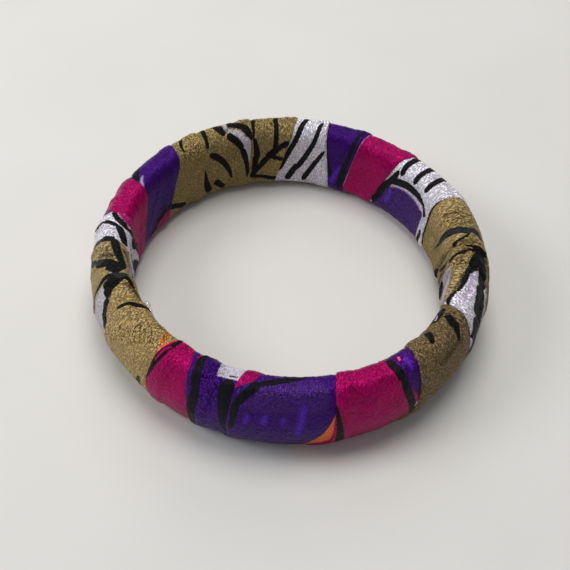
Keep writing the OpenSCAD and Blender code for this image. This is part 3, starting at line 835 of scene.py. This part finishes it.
def crinkle_group():
    """Crinkled metallic cloth: folded noise gives sharp little ridges, drawn out along the
    cloth, with painted glints of light on the ridges' crests and painted shade in the folds
    between them. Amount says how strong they are, and where the cloth turns over the top rim
    they are stronger."""
    g = Group("crinkle", (("Place", "v"), ("Amount", "f"), ("Rim", "f")),
              (("Height", "f"), ("Glint", "f"), ("Crease", "f")))
    stretch = g.tree.nodes.new("ShaderNodeMapping")
    g.feed(stretch.inputs["Vector"], g.inputs["Place"])
    stretch.inputs["Rotation"].default_value = (0, 0, radians(24))
    stretch.inputs["Scale"].default_value = (1.0, 0.55, 1.0)
    coarse = noise_node(g.tree, stretch.outputs[0], 1.3, 3.0, 0.62)
    fine = noise_node(g.tree, stretch.outputs[0], 4.0, 2.0, 0.6)
    fold = g.math("ABSOLUTE", g.math("MULTIPLY_ADD", coarse, 5.0, -2.5))
    ridge = g.math("SUBTRACT", 1.0, g.math("MULTIPLY", fold, 1.5), clamp=True)
    # Where the glints of light are painted on the ridges' crests.
    speck = g.math("MULTIPLY", ridge, g.math("MULTIPLY_ADD", fine, 11.0, -5.4, clamp=True))
    rim = g.math("MULTIPLY_ADD", g.inputs["Rim"], 0.8, 0.8)
    strength = g.math("MULTIPLY", g.inputs["Amount"], rim)
    height = g.math("MULTIPLY_ADD", fine, 0.5, ridge)
    g.feed(g.outputs["Height"], g.math("MULTIPLY", height, strength))
    g.feed(g.outputs["Glint"], g.math("MULTIPLY", speck, strength, clamp=True))
    # Where shade is painted into the folds between the ridges.
    gap = g.math("MULTIPLY_ADD", fold, 2.4, -1.0, clamp=True)
    weak = g.math("MULTIPLY_ADD", strength, 0.50, -0.12, clamp=True)
    dark = g.math("MULTIPLY_ADD", fine, -7.0, 3.1, clamp=True)
    dark = g.math("MAXIMUM", dark, gap)
    g.feed(g.outputs["Crease"], g.math("MULTIPLY", dark, weak, clamp=True))
    return g.tree


def shared_group(name, builder):
    return bpy.data.node_groups.get(name) or builder()


def use_group(tree, name, builder, **values):
    node = tree.nodes.new("ShaderNodeGroup")
    node.node_tree = shared_group(name, builder)
    for label, value in values.items():
        feed(tree, node.inputs[label.replace("_", " ")], value)
    return node.outputs


# ---------------------------------------------------------------- materials

def new_material(name):
    material = bpy.data.materials.new(name)
    material.use_nodes = True
    tree = material.node_tree
    shader = next(n for n in tree.nodes if n.type == "BSDF_PRINCIPLED")
    return material, tree, shader


def print_place(tree):
    """The cloth's flat place in mm, from its print UV."""
    uv = tree.nodes.new("ShaderNodeUVMap")
    uv.uv_map = "print"
    return vector_node(tree, "SCALE", uv.outputs[0], 1 / MM)


def flat_vector(spot):
    x, y = flat_place(*spot)
    return (float(x), float(y), 0.0)


def line_mask(tree, name, builder, place, wobble, start, end, bow, **more):
    return use_group(tree, name, builder, Place=place, Start=flat_vector(start),
                     End=flat_vector(end), Bow=float(bow), Wobble=wobble, **more)["Mask"]


# How each ground looks: sheen of its threads, roughness, weave pitch and depth, crinkling with its
# painted glints and painted crease shade, bump depth, and the tint added to the painted glints
FINISH = {
    "gold": {"metal": 0.30, "rough": 0.42, "pitch": 0.36, "weave": 0.6, "crinkle": 1.0,
             "bump": 0.42, "glint_tint": (0.09, 0.07, 0.035)},
    "magenta": {"metal": 0.42, "rough": 0.36, "pitch": 0.42, "weave": 0.4, "crinkle": 0.60,
                "bump": 0.24, "glint_tint": (0.10, 0.003, 0.03)},
    "purple": {"metal": 0.45, "rough": 0.36, "pitch": 0.44, "weave": 0.5, "crinkle": 0.55,
               "bump": 0.26, "glint_tint": (0.03, 0.006, 0.10)},
    "white": {"metal": 0.0, "rough": 0.38, "pitch": 0.40, "weave": 0.3, "crinkle": 0.75,
              "bump": 0.32, "glint_tint": (0.10, 0.10, 0.10)},
}


def print_material(n):
    """Turn n's printed cloth: its ground with the strokes and patches laid over it in order,
    then thread colour, painted shade in the creases, painted glints on the crests, weave and
    relief of the crinkling."""
    ground, layers = STROKES[n]
    finish = FINISH[ground]
    material, tree, shader = new_material(f"{ground}_print_{n:02d}")
    place = print_place(tree)
    ragged = noise_node(tree, place, 2.2, 3.0, 0.7)
    wobble = math_node(tree, "MULTIPLY_ADD", ragged, 0.5, -0.25)
    apart = tree.nodes.new("ShaderNodeSeparateXYZ")
    feed(tree, apart.inputs[0], place)
    # Over the top rim the crinkling, its painted glints and its painted crease shade are made
    # stronger.
    rim_at = 0.255 * SECTION_LENGTH
    away = math_node(tree, "ABSOLUTE", math_node(tree, "SUBTRACT", apart.outputs[1], rim_at))
    rim = math_node(tree, "MULTIPLY_ADD", away, -0.35, 1.0, clamp=True)

    cloud = noise_node(tree, place, 0.22, 2.0)
    base = mix_colour(tree, math_node(tree, "MULTIPLY_ADD", cloud, 1.6, -0.3, clamp=True),
                      shaded(colour(ground), 0.80), shaded(colour(ground), 1.15))
    weave = use_group(tree, "satin_weave", weave_group, Place=place, Pitch=finish["pitch"])
    inked, rough_zone = 0.0, finish["crinkle"]
    for layer in layers:
        if len(layer) == 2:
            name, edges = layer
            mask = None
            for start, end, bow in edges:
                one = line_mask(tree, "print_edge", edge_group, place, wobble, start, end, bow,
                                Soft=SOFT_PATCH.get(name, CRISP))
                mask = one if mask is None else math_node(tree, "MULTIPLY", mask, one)
        else:
            name, start, end, bow, first, last = layer
            mask = line_mask(tree, "brush_stroke", stroke_group, place, wobble, start, end, bow,
                             First_Width=float(first), Last_Width=float(last),
                             Soft=SOFT_STROKE.get(name, CRISP))
        # A stroke of crinkling strengthens the relief there, and with it the painted glints and
        # painted crease shade.
        if name == "crinkle":
            soft = math_node(tree, "MULTIPLY", mask, 1.9)
            rough_zone = math_node(tree, "ADD", rough_zone, soft)
            continue
        # A haze stroke is painted sheen: pale lavender mixed in, dotted by the weave.
        if name == "haze":
            dots = math_node(tree, "MULTIPLY_ADD", weave["Height"], 0.10, 0.02, clamp=True)
            dots = math_node(tree, "MULTIPLY", dots, mask)
            base = mix_colour(tree, dots, base, shaded(colour("lavender"), 0.8))
            continue
        base = mix_colour(tree, mask, base, shaded(colour(name), 1.0))
        cover = 1.0 if name in ("ink", "slate", "white", "lavender") else 0.0
        gain = math_node(tree, "SUBTRACT", cover, inked)
        inked = math_node(tree, "MULTIPLY_ADD", mask, gain, inked)

    crinkle = use_group(tree, "crinkle", crinkle_group, Place=place, Rim=rim,
                        Amount=rough_zone)
    tint = math_node(tree, "MULTIPLY_ADD", weave["Tint"], 0.45, 0.78)
    threads = vector_node(tree, "SCALE", base, tint)
    # Painted shade in the creases: the colour darkened to a quarter there.
    crease_shade = vector_node(tree, "SCALE", base, 0.25)
    threads = mix_colour(tree, crinkle["Crease"], threads, crease_shade)
    # Painted glints: the colour lifted to three times itself with a light tint, less where inked.
    bright = vector_node(tree, "ADD", vector_node(tree, "SCALE", base, 3.0), finish["glint_tint"])
    plain = math_node(tree, "SUBTRACT", 1.0, inked)
    glint = math_node(tree, "MULTIPLY", crinkle["Glint"],
                      math_node(tree, "MULTIPLY_ADD", plain, 0.7, 0.2))
    feed(tree, shader.inputs["Base Color"], mix_colour(tree, glint, threads, bright))
    feed(tree, shader.inputs["Metallic"], math_node(tree, "MULTIPLY", plain, finish["metal"]))
    rough = math_node(tree, "MULTIPLY_ADD", weave["Tint"], 0.16, finish["rough"] - 0.08)
    feed(tree, shader.inputs["Roughness"], math_node(tree, "MULTIPLY_ADD", inked, 0.08, rough))
    shader.inputs["Specular IOR Level"].default_value = 0.12

    relief = math_node(tree, "MULTIPLY", weave["Height"], 0.10 * finish["weave"])
    relief = math_node(tree, "ADD", relief, crinkle["Height"])
    bump = tree.nodes.new("ShaderNodeBump")
    bump.inputs["Strength"].default_value = 0.75
    bump.inputs["Distance"].default_value = finish["bump"] * MM
    feed(tree, bump.inputs["Height"], relief)
    feed(tree, shader.inputs["Normal"], bump.outputs[0])
    return material


def shaded(rgb, factor):
    return tuple(min(1.0, c * factor) for c in rgb) + (1.0,)


def object_place(tree):
    node = tree.nodes.new("ShaderNodeTexCoord")
    return vector_node(tree, "SCALE", node.outputs["Object"], 1 / MM)


def wood_material():
    """Plain sanded wood: long rings of noise drawn out round the bangle."""
    material, tree, shader = new_material("ring_wood")
    place = object_place(tree)
    grain_lines = noise_node(tree, vector_node(tree, "MULTIPLY", place, (0.1, 0.9, 0.9)), 1.0, 4.0)
    feed(tree, shader.inputs["Base Color"], mix_colour(
        tree, grain_lines, srgb("8a6238") + (1,), srgb("cfa878") + (1,)))
    feed(tree, shader.inputs["Roughness"], math_node(tree, "MULTIPLY_ADD", grain_lines, 0.2, 0.5))
    return material


def film_material():
    """A thin dried adhesive film, slightly milky and brushed."""
    material, tree, shader = new_material("adhesive_film")
    brushed = noise_node(tree, object_place(tree), 0.6, 3.0)
    feed(tree, shader.inputs["Base Color"], mix_colour(
        tree, brushed, srgb("cfc7ae") + (1,), srgb("e6e0cc") + (1,)))
    feed(tree, shader.inputs["Roughness"], math_node(tree, "MULTIPLY_ADD", brushed, 0.3, 0.15))
    return material


def glue_material():
    """Clear dried glue with a faint haze."""
    material, tree, shader = new_material("clear_glue")
    haze = noise_node(tree, object_place(tree), 1.4, 2.0)
    feed(tree, shader.inputs["Base Color"], mix_colour(
        tree, haze, srgb("e6e6e2") + (1,), srgb("fafaf8") + (1,)))
    feed(tree, shader.inputs["Roughness"], math_node(tree, "MULTIPLY_ADD", haze, 0.12, 0.03))
    shader.inputs["Transmission Weight"].default_value = 0.7
    shader.inputs["IOR"].default_value = 1.46
    return material


def floor_material():
    """A plain pale matt floor."""
    material, tree, shader = new_material("studio_floor")
    cloud = noise_node(tree, object_place(tree), 0.02, 3.0)
    feed(tree, shader.inputs["Base Color"], mix_colour(
        tree, cloud, srgb("cfcdc8") + (1,), srgb("dad8d4") + (1,)))
    shader.inputs["Roughness"].default_value = 0.9
    shader.inputs["Specular IOR Level"].default_value = 0.15
    return material


# ---------------------------------------------------------------- glue beads

def bead_piece(name, node, radius):
    """A glossy low drop on its solid's place: a dome about the cloth's normal whose profile is
    a quarter of an ellipse, closed underneath by a ring and a middle point. The radius is in
    millimetres."""
    low, high = (np.array(p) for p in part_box(node))
    middle = (low + high) / 2
    angle = np.degrees(np.arctan2(middle[1], middle[0])) % 360 + BEAD_SHIFT
    around = np.linspace(0, 2 * pi, BEAD_AROUND, endpoint=False)[None, :]
    out = np.linspace(0, 1, BEAD_OUT)[:, None]
    reach = radius * out
    angles = angle + np.degrees(reach * np.cos(around) / INNER_RADIUS)
    shares = BEAD_SHARE + 0.75 * reach * np.sin(around) / SECTION_LENGTH
    dome = BEAD_CROWN * radius * np.sqrt(1 - out ** 2 * 0.999)
    top = on_ring(angles, shares, BEAD_SEAT + bunching(angles, shares) + dome)
    under = BEAD_SEAT - BEAD_SINK
    foot = on_ring(angles[-1], shares[-1], np.full(BEAD_AROUND, under))
    base = on_ring(np.array([angle]), np.array([BEAD_SHARE]), np.array([under]))
    points = np.concatenate([top[:1, 0], top[1:].reshape(-1, 3), foot, base])
    rings = 1 + np.arange(BEAD_OUT * BEAD_AROUND).reshape(BEAD_OUT, BEAD_AROUND)
    beside = np.roll(rings, -1, axis=1)
    cap = np.stack([np.zeros_like(rings[0]), beside[0], rings[0]], axis=1)
    bands = np.stack([rings[:-1], beside[:-1], beside[1:], rings[1:]], axis=-1).reshape(-1, 4)
    floor = np.stack([np.full_like(rings[-1], len(points) - 1), rings[-1], beside[-1]], axis=1)
    mesh = bpy.data.meshes.new(name)
    mesh.from_pydata(points.tolist(), [], cap.tolist() + bands.tolist() + floor.tolist())
    mesh.polygons.foreach_set("use_smooth", np.ones(len(mesh.polygons), bool))
    mesh.update()
    return place_piece(mesh, glue_material(), "clear_glue", node)


# ---------------------------------------------------------------- operators

class BANGLE_OT_stage(bpy.types.Operator):
    """Make the floor, the lights and the camera."""

    bl_idname = "bangle.stage"
    bl_label = "Stage"

    def execute(self, context):
        half = FLOOR_HALF
        mesh = bpy.data.meshes.new("studio_floor")
        corners = [(-half, -half, 0), (half, -half, 0), (half, half, 0), (-half, half, 0)]
        mesh.from_pydata(corners, [], [(0, 1, 2, 3)])
        mesh.materials.append(floor_material())
        floor = bpy.data.objects.new("studio_floor", mesh)
        context.collection.objects.link(floor)
        for name, place, size, power, tint in (
                ("overhead_softbox", (-0.02, 0.12, 0.62), 0.42, 2.45, (1, 0.985, 0.96)),
                ("back_softbox", (-0.05, 0.50, 0.46), 0.30, 0.7, (1, 0.99, 0.98)),
                ("left_softbox", (-0.48, -0.06, 0.40), 0.28, 1.5, (0.97, 0.985, 1)),
                ("front_fill", (-0.20, -0.60, 0.40), 0.50, 0.2, (1, 1, 1))):
            data = bpy.data.lights.new(name, "AREA")
            data.shape, data.size, data.energy, data.color = "DISK", size, power, tint
            lamp = bpy.data.objects.new(name, data)
            context.collection.objects.link(lamp)
            lamp.location = place
            lamp.rotation_euler = Vector(place).to_track_quat("Z", "Y").to_euler()
        world = bpy.data.worlds.new("soft_room")
        world.use_nodes = True
        world.node_tree.nodes["Background"].inputs["Color"].default_value = (0.9, 0.93, 1, 1)
        world.node_tree.nodes["Background"].inputs["Strength"].default_value = 0.24
        context.scene.world = world
        context.scene.view_settings.view_transform = "Standard"
        self.make_camera(context)
        return {"FINISHED"}

    def make_camera(self, context):
        """A camera that looks at the middle of the underside from in front and above, with a
        slight turn about its own line of sight."""
        above, turned = radians(CAMERA_ABOVE), radians(CAMERA_TURN)
        right = np.array([1.0, 0.0, 0.0])
        up = np.array([0.0, sin(above), cos(above)])
        back = np.array([0.0, -cos(above), sin(above)])
        x = cos(turned) * right - sin(turned) * up
        y = sin(turned) * right + cos(turned) * up
        data = bpy.data.cameras.new("camera")
        data.sensor_width = 36
        data.lens = CAMERA_LENS
        data.shift_x, data.shift_y = CAMERA_SHIFT
        data.clip_start = 0.01
        camera = bpy.data.objects.new("camera", data)
        camera.matrix_world = Matrix((
            (x[0], y[0], back[0], back[0] * CAMERA_AWAY),
            (x[1], y[1], back[1], back[1] * CAMERA_AWAY),
            (x[2], y[2], back[2], back[2] * CAMERA_AWAY),
            (0, 0, 0, 1)))
        context.collection.objects.link(camera)
        context.scene.camera = camera


class BANGLE_OT_ring(bpy.types.Operator):
    """Give the solid ring its wood and the film on it its dried adhesive."""

    bl_idname = "bangle.ring"
    bl_label = "Ring and adhesive"

    def execute(self, context):
        for node, material in (("core_ring", wood_material()), ("adhesive_film", film_material())):
            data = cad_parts[node].data
            data.materials.clear()
            data.materials.append(material)
        return {"FINISHED"}


class BANGLE_OT_cloth(bpy.types.Operator):
    """Lay the twenty lengths of printed cloth round the ring."""

    bl_idname = "bangle.cloth"
    bl_label = "Cloth lengths"

    def execute(self, context):
        for n in range(1, TURNS + 1):
            make_length(n)
        return {"FINISHED"}


class BANGLE_OT_glue(bpy.types.Operator):
    """Make the two beads of dried glue at the inner edge."""

    bl_idname = "bangle.glue"
    bl_label = "Glue beads"

    def execute(self, context):
        bead_piece("glue_drop_large", "glue_bead_large", 1.1)
        bead_piece("glue_drop_small", "glue_bead_small", 0.6)
        return {"FINISHED"}


class BANGLE_PT_panel(bpy.types.Panel):
    """Lists the bangle's settings and steps."""

    bl_idname = "BANGLE_PT_panel"
    bl_label = "Bangle"
    bl_space_type = "VIEW_3D"
    bl_region_type = "UI"
    bl_category = "Bangle"

    def draw(self, context):
        column = self.layout.column()
        for settings in (context.scene.bangle_cloth, context.scene.bangle_colours):
            for name in settings.__annotations__:
                column.prop(settings, name)
        for step in STEPS:
            column.operator(step.bl_idname)


STEPS = (BANGLE_OT_stage, BANGLE_OT_ring, BANGLE_OT_cloth, BANGLE_OT_glue)
CLASSES = (BangleCloth, BangleColours) + STEPS + (BANGLE_PT_panel,)


def register():
    for cls in CLASSES:
        bpy.utils.register_class(cls)
    bpy.types.Scene.bangle_cloth = PointerProperty(type=BangleCloth)
    bpy.types.Scene.bangle_colours = PointerProperty(type=BangleColours)


def unregister():
    del bpy.types.Scene.bangle_colours
    del bpy.types.Scene.bangle_cloth
    for cls in reversed(CLASSES):
        bpy.utils.unregister_class(cls)


def main():
    register()
    bpy.ops.bangle.stage()
    bpy.ops.bangle.ring()
    bpy.ops.bangle.cloth()
    bpy.ops.bangle.glue()


if __name__ == "__main__":
    main()
